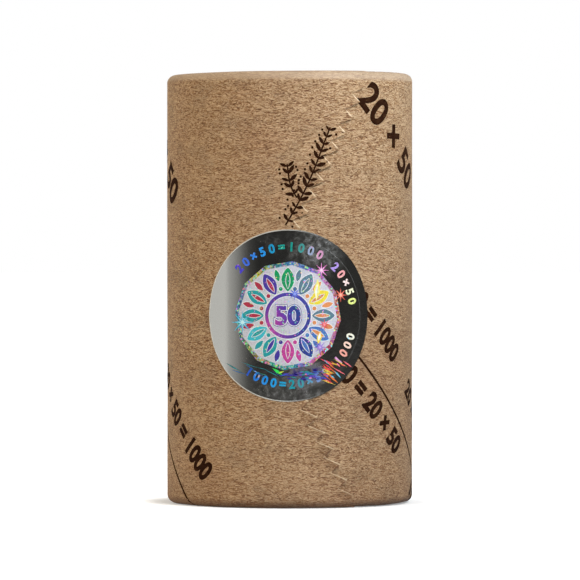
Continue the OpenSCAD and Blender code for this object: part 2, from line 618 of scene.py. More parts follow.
class Bench:
    """Starts, cuts and finishes the piece that is in hand."""

    @staticmethod
    def clear() -> None:
        """Deselect everything."""
        bpy.ops.object.select_all(action="DESELECT")

    @staticmethod
    def take(name: str) -> Piece:
        """Name the object that was just added and return it.

        Args:
            name: The piece's name.

        Returns:
            The piece.
        """
        piece = bpy.context.object
        piece.name = name
        piece.data.name = name
        return piece

    @classmethod
    def hold(cls, piece: Piece) -> None:
        """Make a piece the only selected one.

        Args:
            piece: The piece.
        """
        cls.clear()
        piece.select_set(True)
        bpy.context.view_layer.objects.active = piece

    @classmethod
    def grid(cls, name: str, columns: int, rows: int) -> Piece:
        """A flat grid from (0, 0) to (1, 1) with that many faces each way.

        Args:
            name: The piece's name.
            columns: Faces along x.
            rows: Faces along y.

        Returns:
            The flat grid.
        """
        cls.clear()
        bpy.ops.mesh.primitive_grid_add(
            x_subdivisions=columns, y_subdivisions=rows, size=1.0, location=(0.5, 0.5, 0.0)
        )
        bpy.ops.object.transform_apply(location=True, rotation=True, scale=True)
        return cls.take(name)

    @classmethod
    def disc(cls, name: str, corners: int, radius: float) -> Piece:
        """A flat filled polygon round the origin.

        Args:
            name: The piece's name.
            corners: How many corners it has.
            radius: How far they lie out.

        Returns:
            The flat disc.
        """
        cls.clear()
        bpy.ops.mesh.primitive_circle_add(vertices=corners, radius=radius, fill_type="NGON")
        return cls.take(name)

    @classmethod
    def words(cls, name: str, text: str, height: float, weight: float) -> Piece:
        """Numerals as a flat mesh that starts at the origin.

        Args:
            name: The piece's name.
            text: The numerals.
            height: The font's size, in millimetres.
            weight: How far the strokes are thickened, in millimetres.

        Returns:
            The flat mesh.
        """
        cls.clear()
        bpy.ops.object.text_add()
        curve = bpy.context.object.data
        curve.body = text
        curve.size = height
        curve.offset = weight
        curve.resolution_u = 5
        bpy.ops.object.convert(target="MESH")
        piece = cls.take(name)
        cls.edit(piece, lambda: bpy.ops.mesh.remove_doubles(threshold=1e-4))
        return piece

    @classmethod
    def edit(cls, piece: Piece, work: Callable[[], Any]) -> None:
        """Do some work on all of a piece in edit mode.

        Args:
            piece: The piece.
            work: The operators to call.
        """
        cls.hold(piece)
        bpy.ops.object.mode_set(mode="EDIT")
        bpy.ops.mesh.select_all(action="SELECT")
        work()
        bpy.ops.object.mode_set(mode="OBJECT")

    @classmethod
    def cut(cls, piece: Piece, at: Vector, across: Vector, drop: bool = False) -> None:
        """Bisect a flat piece, and drop what lies past the cut if asked.

        Args:
            piece: The flat piece.
            at: A point of the cut.
            across: The direction across it.
            drop: Whether the far side is deleted.
        """
        cls.edit(piece, lambda: bpy.ops.mesh.bisect(plane_co=at, plane_no=across, clear_outer=drop))

    @classmethod
    def rule(cls, piece: Piece, step: float, upright: bool = True) -> None:
        """Cut a flat piece into upright or level strips, so that it can follow the roll.

        Args:
            piece: The piece.
            step: The width of a strip.
            upright: Whether the strips stand upright.
        """
        across = Vector((1, 0, 0)) if upright else Vector((0, 1, 0))
        places = [v.co.dot(across) for v in piece.data.vertices]
        low, high = min(places), max(places)

        def work() -> None:
            """One cut after each step."""
            for k in range(math.ceil(low / step), math.floor(high / step) + 1):
                bpy.ops.mesh.select_all(action="SELECT")
                bpy.ops.mesh.bisect(plane_co=across * (k * step), plane_no=across)

        cls.edit(piece, work)

    @classmethod
    def move(cls, piece: Piece, rule: Rule) -> None:
        """Move each vertex by a rule.

        Args:
            piece: The piece.
            rule: Gives a vertex its new place.
        """
        for vertex in piece.data.vertices:
            vertex.co = rule(vertex.co)
        piece.data.update()

    @staticmethod
    def chart(piece: Piece, flat: Sequence[Point]) -> None:
        """Store where each vertex lies on the flat sheet, in millimetres, as the UV map.

        Args:
            piece: The piece.
            flat: The place of each vertex along and up the sheet.
        """
        layers = piece.data.uv_layers
        layer = layers[0] if layers else layers.new()
        layer.name = CHART_NAME
        for loop in piece.data.loops:
            s, v = flat[loop.vertex_index]
            layer.data[loop.index].uv = (s / CHART_SIZE + CHART_ORIGIN[0], v / CHART_SIZE + CHART_ORIGIN[1])

    @classmethod
    def thicken(cls, piece: Piece, depth: float, side: float) -> None:
        """Give a sheet its thickness, inwards (-1) or outwards (1), in millimetres.

        Args:
            piece: The piece.
            depth: The thickness.
            side: The side that it grows to.
        """
        cls.hold(piece)
        solid = piece.modifiers.new("thickness", "SOLIDIFY")
        solid.thickness = depth * MM
        solid.offset = side
        bpy.ops.object.modifier_apply(modifier=solid.name)

    @classmethod
    def face_out(cls, piece: Piece) -> None:
        """Turn a sheet's faces away from the roll's axis.

        Args:
            piece: The piece.
        """
        faces = piece.data.polygons
        if sum(p.area * p.normal.dot(Vector((p.center.x, p.center.y, 0.0))) for p in faces) < 0:
            cls.edit(piece, bpy.ops.mesh.flip_normals)

    @classmethod
    def soften(cls, piece: Piece, angle: float = 35.0) -> None:
        """Shade smooth wherever faces meet at less than an angle in degrees."""
        cls.hold(piece)
        bpy.ops.object.shade_smooth_by_angle(angle=math.radians(angle))

    @classmethod
    def close(cls, piece: Piece, depth: float, side: float) -> None:
        """Turn a sheet's faces outwards, give it its thickness and shade it smooth.

        Args:
            piece: The piece.
            depth: The thickness, in millimetres.
            side: Inwards (-1) or outwards (1).
        """
        cls.face_out(piece)
        cls.thicken(piece, depth, side)
        cls.soften(piece)

    @classmethod
    def join(cls, pieces: Sequence[Piece], name: str) -> Piece:
        """Join several pieces into the first one.

        Args:
            pieces: The pieces.
            name: The name of the joined piece.

        Returns:
            The joined piece.
        """
        cls.hold(pieces[0])
        for piece in pieces:
            piece.select_set(True)
        bpy.ops.object.join()
        return cls.take(name)

    @classmethod
    def copy(cls, piece: Piece, rule: Rule) -> Piece:
        """A copy with its own mesh, moved by a rule.

        Args:
            piece: The piece.
            rule: Gives a vertex its new place.

        Returns:
            The copy.
        """
        cls.hold(piece)
        bpy.ops.object.duplicate(linked=False)
        twin = bpy.context.object
        cls.move(twin, rule)
        return twin

    @staticmethod
    def paint(piece: Piece, tint: Tint) -> None:
        """Store one tint for all of a piece, or the tint that a rule gives for each vertex.

        Args:
            piece: The piece.
            tint: The tint or the rule.
        """
        layer = piece.data.color_attributes.new(TINT_NAME, "FLOAT_COLOR", "CORNER")
        for corner, loop in zip(layer.data, piece.data.loops):
            shade = tint(piece.data.vertices[loop.vertex_index].co) if callable(tint) else tint
            corner.color = (*shade, 1.0)

    @staticmethod
    def drop(*patterns: Piece) -> None:
        """Delete shapes that were only there to be copied."""
        for pattern in patterns:
            bpy.data.objects.remove(pattern)

    @staticmethod
    def dress(piece: Piece, material: Material, slot: Slot, body: str) -> Piece:
        """Give a finished piece its material and the body that it rides on.

        Args:
            piece: The piece.
            material: Its finish.
            slot: Not used.
            body: The body's name.

        Returns:
            The piece.
        """
        piece.data.materials.clear()
        piece.data.materials.append(material)
        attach(piece, body)
        log.info("%s: %d faces on %s", piece.name, len(piece.data.polygons), body)
        return piece


# The roll


@dataclass(frozen=True)
class RollForm:
    """The shape that the paper follows, in millimetres.

    A place on the sheet is s along it, right of the front of the roll, and v up it from mid-height. The sheet
    comes out from under its torn edge, goes once round to the right and ends at the torn edge.
    """

    outer_r: float
    height: float
    shoulder_r: float
    paper_t: float = 0.12
    notch_angle: float = -18.0
    notch_v: float = -2.25
    arm_slant: float = 26.0
    tooth_pitch: float = 2.34
    tooth_depth: float = 1.5
    tooth_lean: float = 0.75
    first_tooth: float = 1.12
    wobble: float = 0.035
    edge_lift: float = 0.24
    lift_reach: float = 1.7
    lift_start: float = 0.35
    lift_power: float = 1.4
    loose_more: float = 0.8
    loose_span: Point = (-4.0, -12.0)
    dent: float = 0.1
    top_dip: float = 0.16
    top_turn: float = 0.6
    top_proud: float = 0.13
    tear: float = 0.035
    pressed_s: float = -0.29
    pressed_v: float = -3.4
    pressed_r: float = 11.6
    pressed_fade: float = 1.5
    pressed_lift: float = 0.04

    @classmethod
    def from_frame(cls) -> "RollForm":
        """Take the radius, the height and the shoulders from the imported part.

        Returns:
            The shape.
        """
        barrel = next(m for m in frame["record"]["mounts"] if m["name"] == "barrel")["dims"]
        low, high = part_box("wrapper")
        height = (high.z - low.z) / MM
        return cls(barrel["r_mm"], height, (height - barrel["length_mm"]) / 2)

    @property
    def girth(self) -> float:
        """Length once round."""
        return 2 * math.pi * self.outer_r

    @property
    def half_wall(self) -> float:
        """Height of the straight wall above mid-height."""
        return self.height / 2 - self.shoulder_r

    @property
    def half_sheet(self) -> float:
        """Length of sheet from mid-height to the inner end of a shoulder."""
        return self.half_wall + self.shoulder_r * math.pi / 2

    @property
    def notch_s(self) -> float:
        """Where the point of the V lies."""
        return math.radians(self.notch_angle) * self.outer_r

    def arm_s(self, v: float) -> float:
        """Where the roots of the teeth lie at a height."""
        return self.notch_s + abs(v - self.notch_v) * math.tan(math.radians(self.arm_slant))

    def along_arm(self, u: float, n: float = 0.0) -> Point:
        """How far right of the point of the V, and how far up or down from it, a point of an arm lies.

        Args:
            u: Length along the arm.
            n: Length across it.

        Returns:
            Both distances.
        """
        slant = math.radians(self.arm_slant)
        return u * math.sin(slant) + n * math.cos(slant), u * math.cos(slant) - n * math.sin(slant)

    def torn_s(self, v: float) -> float:
        """Where the saw-toothed edge lies at a height, with the fine unevenness of torn fibres."""
        return self.tooth_s(v) + self.tear * noise.noise(Vector((v * 3.1, 0.4, 7.0)))

    def tooth_s(self, v: float) -> float:
        """Where a clean saw-toothed edge lies at a height.

        Args:
            v: The height.

        Returns:
            The place along the sheet.
        """
        far = abs(v - self.notch_v)
        first_s, first_far = self.along_arm(self.first_tooth)
        if far < first_far:
            return self.notch_s + first_s * far / first_far
        next_s, next_far = self.along_arm(self.tooth_pitch)
        tip_s, tip_far = self.along_arm(self.tooth_lean * self.tooth_pitch, self.tooth_depth)
        k, rest = divmod(far - first_far, next_far)
        root = self.notch_s + first_s + k * next_s
        if rest < tip_far:
            return root + tip_s * rest / tip_far
        return root + tip_s + (next_s - tip_s) * (rest - tip_far) / (next_far - tip_far)

    def tooth_rows(self) -> list[float]:
        """Heights of all roots and tips on the straight wall, from the lowest to the highest.

        Returns:
            The heights.
        """
        reach = self.half_wall - 0.1
        first_far, next_far = self.along_arm(self.first_tooth)[1], self.along_arm(self.tooth_pitch)[1]
        tip_far = self.along_arm(self.tooth_lean * self.tooth_pitch, self.tooth_depth)[1]
        roots = [first_far + k * next_far for k in range(math.ceil(self.height / next_far))]
        tips = [root + tip_far for root in roots]
        rows = {self.notch_v + side * far for far in (0.0, *roots, *tips) for side in (-1, 1)}
        return sorted({v for v in rows if abs(v) < reach} | {-reach, reach})

    def layer_r(self, s: float) -> float:
        """Radius of the sheet's outside, which grows by one thickness on the way round."""
        grown = smooth(s - self.notch_s, 0.15 * self.girth, 0.9 * self.girth)
        return self.outer_r - self.paper_t * (1 - grown)

    def freedom(self, s: float, v: float) -> float:
        """0 where the seal presses the paper flat, 1 away from it.

        Args:
            s: Length along the sheet.
            v: Length up the sheet.

        Returns:
            A number from 0 to 1.
        """
        along = (s + self.girth / 2) % self.girth - self.girth / 2
        away = math.hypot(along - self.pressed_s, v - self.pressed_v)
        return smooth(away, self.pressed_r, self.pressed_r + self.pressed_fade)

    def chance(self, s: float, pace: float, level: float) -> float:
        """Smooth chance on the way round the roll, the same at both ends of the girth.

        Args:
            s: Length along the sheet.
            pace: How fast it changes on the way round.
            level: Which of many such rings it is.

        Returns:
            A number between -1 and 1.
        """
        turn = s / self.outer_r
        return noise.noise(Vector((math.cos(turn) * pace, math.sin(turn) * pace, level)))

    def waves(self, s: float, v: float) -> float:
        """Slow unevenness of the paper."""
        return self.wobble * self.chance(s, 2.4, v * 0.11)

    def upper_side(self, v: float) -> bool:
        """Whether the torn edge at a height is the upper side of a tooth."""
        return self.tooth_s(v + 0.02) < self.tooth_s(v - 0.02)

    def edge_rise(self, s: float, v: float) -> float:
        """How far the outermost layer stands off: its teeth curl outwards, uneven from tooth to tooth.

        Args:
            s: Length along the sheet.
            v: Length up the sheet.

        Returns:
            The height over the layer below.
        """
        uneven = max(0.5, 0.9 + 0.5 * noise.noise(Vector((v * 0.45, 3.1, 0.0))))
        held = 1 - smooth(abs(v), self.half_wall - 2.0, self.half_wall + 0.7 * self.shoulder_r)
        loose = 1 + self.loose_more * smooth(v, *self.loose_span)
        past_roots = max(0.0, (s - self.girth - self.arm_s(v)) / self.lift_reach + self.lift_start)
        return self.edge_lift * uneven * held * loose * past_roots ** self.lift_power

    def dents(self, s: float, up: float) -> float:
        """How far the fold over an end stays short of its full height.

        Args:
            s: Length along the sheet.
            up: 1 for the upper end, -1 for the lower one.

        Returns:
            The distance, below 0 where the fold stands proud.
        """
        uneven = self.dent * (0.5 + self.chance(s, 2.1, up * 4.0))
        if up < 0:
            return max(0.0, uneven)
        dip = self.top_dip * (1 - math.sin(s / self.outer_r + self.top_turn))
        return 0.5 * uneven + dip - self.top_proud

    def place(self, s: float, v: float, lift: float = 0.0) -> Vector:
        """The point of space, in metres, over a place on the sheet.

        Args:
            s: Length along the sheet.
            v: Length up the sheet.
            lift: Height over the sheet.

        Returns:
            The point.
        """
        free = self.freedom(s, v)
        held = self.pressed_lift + (1 - self.pressed_lift) * free
        out = self.layer_r(s) - self.outer_r + lift * held + self.waves(s, v) * free
        up, far = math.copysign(1.0, v), abs(v)
        bend = min(max(far - self.half_wall, 0.0) / self.shoulder_r, math.pi / 2)
        out -= self.dents(s, up) * math.sin(bend)
        inward = max(far - self.half_sheet, 0.0)
        if bend > 0:
            radius = self.outer_r - self.shoulder_r + (self.shoulder_r + out) * math.cos(bend) - inward
            z = self.half_wall + (self.shoulder_r + out) * math.sin(bend)
        else:
            radius, z = self.outer_r + out, far
        turn = s / self.outer_r
        return Vector((radius * math.sin(turn), -radius * math.cos(turn), self.height / 2 + up * z)) * MM


@dataclass
class Wrapper:
    """The wound sheet of paper and its two rolled ends."""

    form: RollForm
    paper: Material
    under_lap: float = 14.0
    columns: int = 150
    edge_columns: int = 7
    edge_band: float = 0.7
    edge_power: float = 1.8
    shade_span: Point = (-4.0, -9.0)
    sheet_share: float = 0.9
    under_sink: float = 0.02
    under_fade: float = 0.6
    row_step: float = 0.36
    shoulder_rows: int = 7
    land_reach: float = 0.35
    crimp_w: float = 4.6
    lip_r: float = 0.55
    end_steps: int = 360
    pleats: int = 46
    pleat_depth: float = 0.2
    pleat_stray: float = 0.3
    pleat_shares: Point = (0.35, 1.0)
    pleat_widths: Point = (0.05, 0.1)
    pleat_lean: float = 0.035
    pleat_power: float = 1.6
    end_wave: float = 0.03
    end_swell: float = 0.012
    seed: int = 7

    def build(self) -> list[Piece]:
        """Make the sheet and the rolled ends.

        Returns:
            The three pieces.
        """
        ends = [self.rolled_end(name, up) for name, up in (("rolled_end_lower", -1), ("rolled_end_upper", 1))]
        pieces = [self.sheet(), *ends]
        for piece in pieces:
            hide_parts("wrapper")
            Bench.dress(piece, self.paper, Slot.PAPER, "wrapper")
        return pieces

    def rows(self) -> list[float]:
        """Heights of the sheet's rows, over the wall, both shoulders and a little of each end.

        Returns:
            The heights, from the lowest.
        """
        form = self.form
        teeth = form.tooth_rows()
        wall = [a + (b - a) * k / n for a, b in zip(teeth, teeth[1:])
                for n in (math.ceil((b - a) / self.row_step),) for k in range(n)]
        wall.append(teeth[-1])
        bend = [form.half_wall + form.shoulder_r * math.pi / 2 * k / self.shoulder_rows
                for k in range(self.shoulder_rows + 1)]
        end = bend + [form.half_sheet + self.land_reach]
        return [-v for v in reversed(end)] + wall + end

    def sheet(self) -> Piece:
        """The sheet from under the torn edge once round to the torn edge.

        An attribute along that edge is above 0 on the upper sides of the teeth, for pale bare fibres painted
        as a highlight, and below 0 where a tooth of the lower arm is in shade, for painted shade.

        Returns:
            The finished sheet.
        """
        form = self.form
        rows = self.rows()
        across = self.columns + self.edge_columns
        piece = Bench.grid("wrapper_sheet", across, len(rows) - 1)
        start = form.notch_s - self.under_lap
        flat_places, torn = [], []

        def wind(flat: Vector) -> Vector:
            """Lay a grid point on the roll.

            Args:
                flat: A point of the flat grid.

            Returns:
                The point of space.
            """
            column = round(flat.x * across)
            v = rows[round(flat.y * (len(rows) - 1))]
            band = form.arm_s(v) - self.edge_band + form.girth
            edge = form.torn_s(v) + form.girth
            if column <= self.columns:
                s = start + (band - start) * column / self.columns
            else:
                left = 1 - (column - self.columns) / self.edge_columns
                s = edge - (edge - band) * left ** self.edge_power
            flat_places.append((s, v))
            # rim: above 0 for a painted highlight on the upper sides of the teeth, below 0 for painted shade
            # on the lower arm.
            rim = min(max(0.5 * (column - across + 3), 0.0), 1.0)
            rim *= 1.0 if form.upper_side(v) else -smooth(v, *self.shade_span)
            torn.append(rim * (1 - smooth(abs(v), form.half_wall - 1.5, form.half_wall - 0.2)))
            return form.place(s, v, self.lift(s, v))

        Bench.move(piece, wind)
        Bench.chart(piece, flat_places)
        layer = piece.data.attributes.new(TORN_NAME, "FLOAT", "POINT")
        layer.data.foreach_set("value", torn)
        Bench.close(piece, form.paper_t * self.sheet_share, -1)
        return piece

    def lift(self, s: float, v: float) -> float:
        """How far the paper stands off near its torn edge, and sinks where it lies under that edge.

        Args:
            s: Length along the sheet.
            v: Length up the sheet.

        Returns:
            The height over the roll.
        """
        if s < self.form.torn_s(v):
            return -self.under_sink * smooth(self.form.torn_s(v) - s, 0.0, self.under_fade)
        return self.form.edge_rise(s, v)

    def end_profile(self) -> list[Point]:
        """Radius and height over the end plane along a rolled end, from the shoulder round the lip.

        Returns:
            The points of the profile.
        """
        form = self.form
        outer = form.outer_r - form.shoulder_r - self.land_reach * 0.6
        lip = form.outer_r - self.crimp_w + self.lip_r
        crown = [(outer, -0.14), (outer - 0.12, -0.06), (outer - 0.35, -0.01)]
        land = [(outer - 0.35 + (lip - outer + 0.35) * k / 6, 0.0) for k in range(1, 6)]
        turn = [(lip - self.lip_r * math.sin(a), -self.lip_r + self.lip_r * math.cos(a))
                for a in (math.pi * k / 10 for k in range(11))]
        return crown + land + turn + [(lip + 1.2, -2 * self.lip_r)]

    def rolled_end(self, name: str, up: int) -> Piece:
        """One rolled end: a profile spun round the axis, then pleated.

        Args:
            name: The piece's name.
            up: 1 for the upper end, -1 for the lower one.

        Returns:
            The finished piece.
        """
        places = [Vector((r, 0.0, z)) * MM for r, z in self.end_profile()]
        piece = Bench.grid(name, 1, 1)
        Bench.edit(piece, lambda: bpy.ops.mesh.merge(type="CENTER"))
        Bench.move(piece, lambda _: places[0])

        def spin() -> None:
            """Extrude the vertex along the profile and spin it."""
            for a, b in zip(places, places[1:]):
                bpy.ops.mesh.extrude_vertices_move(TRANSFORM_OT_translate={"value": b - a})
            bpy.ops.mesh.select_all(action="SELECT")
            bpy.ops.mesh.spin(steps=self.end_steps, angle=2 * math.pi, center=(0, 0, 0), axis=(0, 0, 1))
            bpy.ops.mesh.select_all(action="SELECT")
            bpy.ops.mesh.remove_doubles(threshold=1e-6)
            bpy.ops.mesh.normals_make_consistent(inside=False)

        Bench.edit(piece, spin)
        self.chart_end(piece)
        self.pleat(piece, up)
        self.face_up(piece, up)
        Bench.thicken(piece, self.form.paper_t, -1)
        Bench.soften(piece, 50.0)
        return piece

    def chart_end(self, piece: Piece) -> None:
        """Carry the sheet's flat layout on over a rolled end.

        Args:
            piece: The rolled end, spun but not yet pleated.
        """
        form = self.form
        flat = []
        for vertex in piece.data.vertices:
            radius, angle = math.hypot(vertex.co.x, vertex.co.y) / MM, math.atan2(vertex.co.y, vertex.co.x)
            up = form.half_sheet + form.outer_r - form.shoulder_r - radius - vertex.co.z / MM
            flat.append((angle * form.outer_r, up))
        Bench.chart(piece, flat)

    def pleat(self, piece: Piece, up: int) -> None:
        """Press creases across a rolled end and stand it at its end of the roll.

        Args:
            piece: The rolled end.
            up: 1 for the upper end, -1 for the lower one.
        """
        draw = random.Random(self.seed + up)
        step = 2 * math.pi / self.pleats
        creases = [
            (
                k * step + draw.uniform(-self.pleat_stray, self.pleat_stray) * step,
                draw.uniform(*self.pleat_shares),
                draw.uniform(*self.pleat_widths),
            )
            for k in range(self.pleats)
        ]
        outer = self.form.outer_r - self.form.shoulder_r
        inner = self.form.outer_r - self.crimp_w

        def press(co: Vector) -> Vector:
            """Lower a point into the creases that it lies in.

            Args:
                co: The point.

            Returns:
                The pressed point.
            """
            radius, angle = math.hypot(co.x, co.y) / MM, math.atan2(co.y, co.x)
            inside = smooth(radius, outer + 0.2, inner + 1.0)
            lean = (outer - radius) * self.pleat_lean
            depth = 0.0
            for place, deep, wide in creases:
                off = abs((angle - place - lean + math.pi) % (2 * math.pi) - math.pi)
                depth = max(depth, deep * max(0.0, 1 - off / wide) ** self.pleat_power)
            wave = noise.noise(Vector((math.cos(angle) * 3, math.sin(angle) * 3, up)))
            low = self.form.dents((angle + math.pi / 2) * self.form.outer_r, up)
            z = co.z / MM - low - self.pleat_depth * inside * depth - self.end_wave * inside * (1 + wave)
            grow = 1 + inside * (self.end_swell * wave + self.end_swell * depth)
            end = self.form.height / 2 * (1 + up)
            return Vector((co.x * grow, co.y * grow, (end + up * z) * MM))

        Bench.move(piece, press)

    @staticmethod
    def face_up(piece: Piece, up: int) -> None:
        """Turn the outside of a rolled end away from the coins.

        Args:
            piece: The rolled end.
            up: 1 for the upper end, -1 for the lower one.
        """
        top = max(piece.data.polygons, key=lambda p: up * p.center.z)
        if top.normal.z * up < 0:
            Bench.edit(piece, bpy.ops.mesh.flip_normals)


@dataclass(frozen=True)
class Run:
    """A run of numerals in a slanting row of the print.

    The row's foot lies at a distance across the rows, and the run starts at a distance along its row, both
    from the sheet's lower front corner.
    """

    text: str
    across: float
    along: float


@dataclass
class PaperPrint:
    """The print on the paper: slanting rows of numerals, thin rules and a sprig of leaves."""

    form: RollForm
    ink: Material
    product: str = "20 \u00d7 50"
    total: str = "1000"
    slope: float = 47.0
    lift: float = 0.012
    depth: float = 0.006
    step: float = 0.5
    row_period: float = 44.5
    big_row: float = 43.9
    big_size: float = 5.4
    big_weight: float = 0.17
    rule_row: float = 20.8
    rule_w: float = 0.31
    rule_spans: tuple[Point, ...] = ((-26.0, 20.5), (-20.5, 62.0))
    upper_gap: float = 4.1
    lower_gap: float = -3.9
    small_size: float = 3.8
    small_weight: float = 0.17
    small_width: float = 0.8
    trim: float = 0.15
    stem_w: float = 0.22
    sprig_over: float = 0.75
    sprig_steps: Point = (0.25, 0.3)
    edge_gap: float = 0.1
    twigs: tuple[tuple[Point, Point, int, float], ...] = (
        ((-0.6, 8.6), (5.6, 21.4), 14, -0.3),
        ((0.9, 12.2), (-0.6, 16.6), 5, 0.25),
    )

    def build(self) -> list[Piece]:
        """Make the print's pieces.

        Returns:
            The pieces.
        """
        big = [self.row(run, self.big_size, self.big_weight) for run in self.big_runs()]
        narrow = (self.small_size, self.small_weight, self.small_width)
        small = [self.row(run, *narrow) for run in self.small_runs()]
        spans = enumerate(self.rule_spans)
        rules = [self.line(self.rule_row + k * self.row_period, *span) for k, span in spans]
        pieces = [
            Bench.join(big, "print_large_rows"),
            Bench.join(small, "print_small_rows"),
            Bench.join(rules, "print_rules"),
            self.sprig(),
        ]
        for piece in pieces:
            Bench.close(piece, self.depth, 1)
            Bench.dress(piece, self.ink, Slot.PAPER, "wrapper")
        return pieces

    def big_runs(self) -> list[Run]:
        """The large rows: one down the front's right and one that comes round to its left."""
        starts = ((0, -33.4), (0, -6.0), (0, 20.0), (1, 10.8))
        return [Run(self.product, self.big_row + k * self.row_period, along) for k, along in starts]

    def small_runs(self) -> list[Run]:
        """The pairs of small rows, one above and one below each rule.

        Returns:
            The runs.
        """
        upper = (f"{self.product} = {self.total}", self.upper_gap)
        lower = (f"{self.total} = {self.product}", self.lower_gap)
        rows = (
            (0, upper, (-22.0, 2.4)),
            (0, lower, (-12.6, 13.4)),
            (1, upper, (-16.0, 12.5, 41.0)),
            (1, lower, (-12.0, 16.5)),
        )
        return [
            Run(text, self.rule_row + k * self.row_period + gap, along)
            for k, (text, gap), starts in rows
            for along in starts
        ]

    def lay(self, piece: Piece) -> Piece:
        """Trim a flat piece to the sheet and wind it on the roll.

        Args:
            piece: A flat piece in the sheet's millimetres.

        Returns:
            The piece.
        """
        form = self.form
        top = form.half_sheet - self.trim
        for edge in (Vector((0, top, 0)), Vector((0, -top, 0))):
            Bench.cut(piece, edge, edge.normalized(), drop=True)
        Bench.cut(piece, Vector((form.notch_s - 1, 0, 0)), Vector((-1, 0, 0)), drop=True)
        Bench.rule(piece, self.step)
        Bench.chart(piece, [(v.co.x, v.co.y) for v in piece.data.vertices])
        Bench.move(piece, lambda co: form.place(co.x, co.y, self.lift))
        return piece

    def slant(self, across: float, along: float) -> Rule:
        """A rule that turns flat work to the rows' slope.

        Args:
            across: The row's distance across the rows.
            along: The start's distance along the row.

        Returns:
            The rule.
        """
        turn = math.radians(self.slope)
        right = Vector((math.cos(turn), -math.sin(turn), 0))
        upward = Vector((math.sin(turn), math.cos(turn), 0))
        middle = Vector((0, self.form.height / 2, 0))
        return lambda co: right * (along + co.x) + upward * (across + co.y) - middle

    def row(self, run: Run, size: float, weight: float, width: float = 1.0) -> Piece:
        """One run of numerals.

        Args:
            run: The numerals and their place.
            size: The font's size, in millimetres.
            weight: How far the strokes are thickened.
            width: The share of the font's width that is kept.

        Returns:
            The run on the roll.
        """
        piece = Bench.words("row", run.text, size, weight)
        Bench.move(piece, lambda co: Vector((co.x * width, co.y, 0)))
        Bench.move(piece, self.slant(run.across, run.along))
        return self.lay(piece)

    def line(self, across: float, start: float, end: float) -> Piece:
        """One thin rule along a row, from a start to an end.

        Args:
            across: The row's distance across the rows.
            start: Where it starts.
            end: Where it ends.

        Returns:
            The rule on the roll.
        """
        piece = Bench.grid("rule", 40, 1)
        Bench.move(piece, lambda co: Vector((co.x * (end - start), (co.y - 0.5) * self.rule_w, 0)))
        Bench.move(piece, self.slant(across, start))
        return self.lay(piece)

    def twig(
        self, foot: Vector, head: Vector, pairs: int, bow: float, leaf: Piece, berry: Piece
    ) -> list[Piece]:
        """A bowed stem with leaves and berries on both sides.

        Args:
            foot: Where the stem starts on the sheet.
            head: Where it ends.
            pairs: How many pairs of leaves it has.
            bow: How far its middle lies off the straight line.
            leaf: The flat shape of a leaf of unit size.
            berry: The flat shape of a berry.

        Returns:
            The flat parts.
        """
        across = Vector((foot.y - head.y, head.x - foot.x, 0)).normalized()

        def at(share: float) -> Vector:
            """A point of the stem, from its foot (0) to its head (1)."""
            return foot.lerp(head, share) + across * bow * math.sin(math.pi * share * 1.3)

        parts = []
        for k in range(pairs):
            share = (k + 0.6) / pairs
            start = at(share)
            ahead = at(share + 0.02) - start
            for side in (-1, 1):
                size = 0.44 + 0.18 * math.sin(math.pi * share) + 0.1 * math.sin(5.1 * k + side)
                lean = math.atan2(ahead.y, ahead.x) + side * (0.85 + 0.2 * math.cos(3.3 * k))
                turn = Matrix.Rotation(lean, 3, "Z")
                middle = start + turn @ Vector((size * 1.1, 0, 0))
                parts.append(Bench.copy(leaf, lambda co, t=turn, z=size, m=middle: t @ (co * z) + m))
                spot = start + turn @ Vector((size * 1.6, 0.75 * side, 0))
                parts.append(Bench.copy(berry, lambda co, m=spot: co + m))
        stem = Bench.grid("stem", 24, 1)
        Bench.move(stem, lambda co: at(co.x) + across * (co.y - 0.5) * self.stem_w)
        return [*parts, stem]

    def sprig(self) -> Piece:
        """A leafy twig with berries, which the torn edge cuts off.

        Returns:
            The twig on the roll.
        """
        leaf = Bench.disc("leaf", 14, 1.0)
        Bench.move(leaf, lambda co: Vector((co.x, co.y * 0.4 * (1 - 0.45 * co.x * co.x), 0)))
        berry = Bench.disc("berry", 8, 0.17)
        parts = []
        for foot, head, pairs, bow in self.twigs:
            parts += self.twig(Vector((*foot, 0)), Vector((*head, 0)), pairs, bow, leaf, berry)
        Bench.drop(leaf, berry)
        piece = Bench.join(parts, "print_sprig")
        form = self.form
        slant = math.radians(form.arm_slant)
        beyond = Vector((math.cos(slant), -math.sin(slant), 0))
        notch = Vector((form.notch_s, form.notch_v, 0))
        Bench.cut(piece, notch + beyond * self.sprig_over, beyond, drop=True)
        Bench.rule(piece, self.sprig_steps[0])
        Bench.rule(piece, self.sprig_steps[1], upright=False)
        Bench.chart(piece, [(v.co.x + form.girth, v.co.y) for v in piece.data.vertices])

        def press(co: Vector) -> Vector:
            """Keep a point left of the torn edge and lay it on the outermost layer."""
            s = min(co.x, form.torn_s(co.y) - self.edge_gap) + form.girth
            return form.place(s, co.y, self.lift + form.edge_rise(s, co.y))

        Bench.move(piece, press)
        return piece


class Tints(Enum):
    """The colours that the seal's figures take from where they lie."""

    TEAL = "27a3ab"
    CYAN = "3fc3d6"
    CRIMSON = "b8354f"
    GREEN = "13a064"
    VIOLET = "4b3aa8"
    INDIGO = "2f3f93"
    MAGENTA = "c9489f"
    SLATE = "5c7f93"
    YELLOW = "f3df3c"
    ORANGE = "e3925a"
    BLUE = "4a78c4"
    PALE = "cfcfdb"
    WHITE = "eef0f4"

    @property
    def colour(self) -> Colour:
        """The colour in linear light."""
        return linear(self.value)


